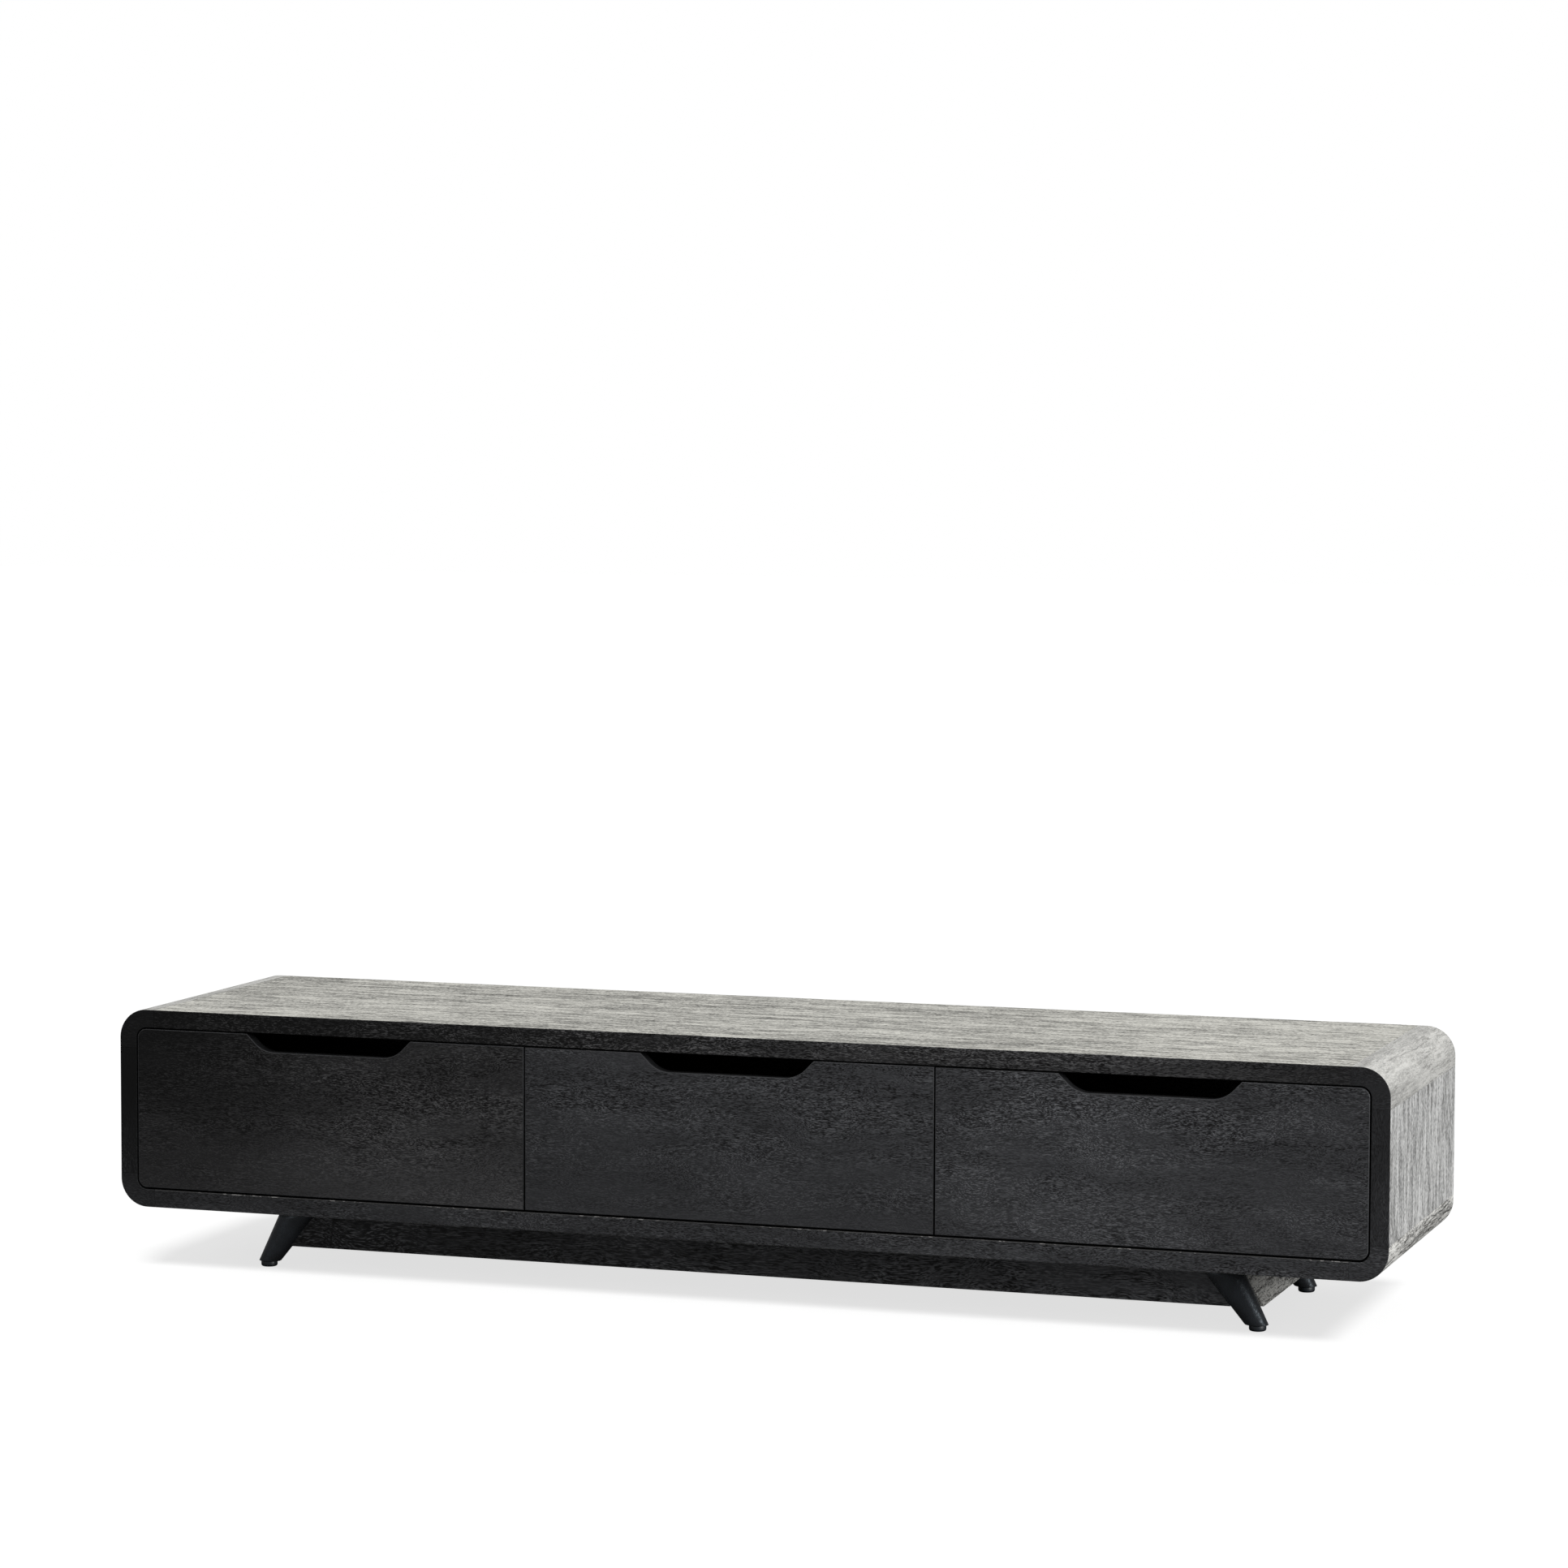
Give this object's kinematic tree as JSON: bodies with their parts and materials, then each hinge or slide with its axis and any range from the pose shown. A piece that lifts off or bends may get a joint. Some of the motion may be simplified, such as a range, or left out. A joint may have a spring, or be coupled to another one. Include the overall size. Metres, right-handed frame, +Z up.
{
  "type": "dresser with drawers",
  "caption": "Long low dresser with rounded carcase corners, inset drawers with finger pulls cut into their top edges, and raked tapered legs joined by aprons.",
  "frame": {"origin": "on the floor under the middle of the dresser, at the centre of its footprint", "axes": "+X along the length towards the dresser's right end as seen from the front, -Y towards the front where the drawers open, +Z up"},
  "size_m": [1.8, 0.444, 0.366],
  "materials": {
    "grey_wash": "grey-washed wood, matt, grain along the length on top and upright on the sides",
    "black_stain": "black-stained wood, satin, with paler flecks in the grain",
    "black_lacquer": "blue-black lacquered turned wood, satin",
    "box_wood": "charcoal-stained plywood, its veneers showing on the top edges",
    "zinc_steel": "zinc-plated rolled steel",
    "glide_plastic": "black moulded plastic"
  },
  "bodies": {
    "carcase": {"bottom_panel": "grey_wash", "top_panel": "grey_wash", "side_panel_left": "grey_wash", "corner_block_bottom_left": "grey_wash", "corner_block_top_left": "grey_wash", "divider_left": "black_stain", "side_panel_right": "grey_wash", "corner_block_bottom_right": "grey_wash", "corner_block_top_right": "grey_wash", "divider_right": "black_stain", "back_panel": "black_stain", "apron_front": "black_stain", "apron_back": "black_stain", "apron_left": "grey_wash", "leg_front_left": "black_lacquer", "glide_front_left": "glide_plastic", "leg_back_left": "black_lacquer", "glide_back_left": "glide_plastic", "apron_right": "grey_wash", "leg_front_right": "black_lacquer", "glide_front_right": "glide_plastic", "leg_back_right": "black_lacquer", "glide_back_right": "glide_plastic", "left_runner_cabinet_left": "zinc_steel", "left_runner_cabinet_right": "zinc_steel", "centre_runner_cabinet_left": "zinc_steel", "centre_runner_cabinet_right": "zinc_steel", "right_runner_cabinet_left": "zinc_steel", "right_runner_cabinet_right": "zinc_steel"},
    "left_drawer": {"left_drawer_front": "black_stain", "left_box_side_left": "box_wood", "left_box_side_right": "box_wood", "left_box_front": "box_wood", "left_box_back": "box_wood", "left_box_bottom": "box_wood", "left_runner_drawer_left": "zinc_steel", "left_runner_drawer_right": "zinc_steel"},
    "left_runner_middle": {"left_runner_middle_left": "zinc_steel", "left_runner_middle_right": "zinc_steel"},
    "centre_drawer": {"centre_drawer_front": "black_stain", "centre_box_side_left": "box_wood", "centre_box_side_right": "box_wood", "centre_box_front": "box_wood", "centre_box_back": "box_wood", "centre_box_bottom": "box_wood", "centre_runner_drawer_left": "zinc_steel", "centre_runner_drawer_right": "zinc_steel"},
    "centre_runner_middle": {"centre_runner_middle_left": "zinc_steel", "centre_runner_middle_right": "zinc_steel"},
    "right_drawer": {"right_drawer_front": "black_stain", "right_box_side_left": "box_wood", "right_box_side_right": "box_wood", "right_box_front": "box_wood", "right_box_back": "box_wood", "right_box_bottom": "box_wood", "right_runner_drawer_left": "zinc_steel", "right_runner_drawer_right": "zinc_steel"},
    "right_runner_middle": {"right_runner_middle_left": "zinc_steel", "right_runner_middle_right": "zinc_steel"}
  },
  "joints": [
    {"name": "left_drawer_slide", "type": "slide", "parent": "carcase", "child": "left_drawer", "axis": [0, -1, 0], "range_m": [0, 0.35]},
    {"name": "left_runner_slide", "type": "slide", "parent": "carcase", "child": "left_runner_middle", "axis": [0, -1, 0], "range_m": [0, 0.175]},
    {"name": "centre_drawer_slide", "type": "slide", "parent": "carcase", "child": "centre_drawer", "axis": [0, -1, 0], "range_m": [0, 0.35]},
    {"name": "centre_runner_slide", "type": "slide", "parent": "carcase", "child": "centre_runner_middle", "axis": [0, -1, 0], "range_m": [0, 0.175]},
    {"name": "right_drawer_slide", "type": "slide", "parent": "carcase", "child": "right_drawer", "axis": [0, -1, 0], "range_m": [0, 0.35]},
    {"name": "right_runner_slide", "type": "slide", "parent": "carcase", "child": "right_runner_middle", "axis": [0, -1, 0], "range_m": [0, 0.175]}
  ],
  "couplings": [
    {"joint": "left_runner_slide", "follows": "left_drawer_slide", "ratio": 0.5},
    {"joint": "centre_runner_slide", "follows": "centre_drawer_slide", "ratio": 0.5},
    {"joint": "right_runner_slide", "follows": "right_drawer_slide", "ratio": 0.5}
  ]
}
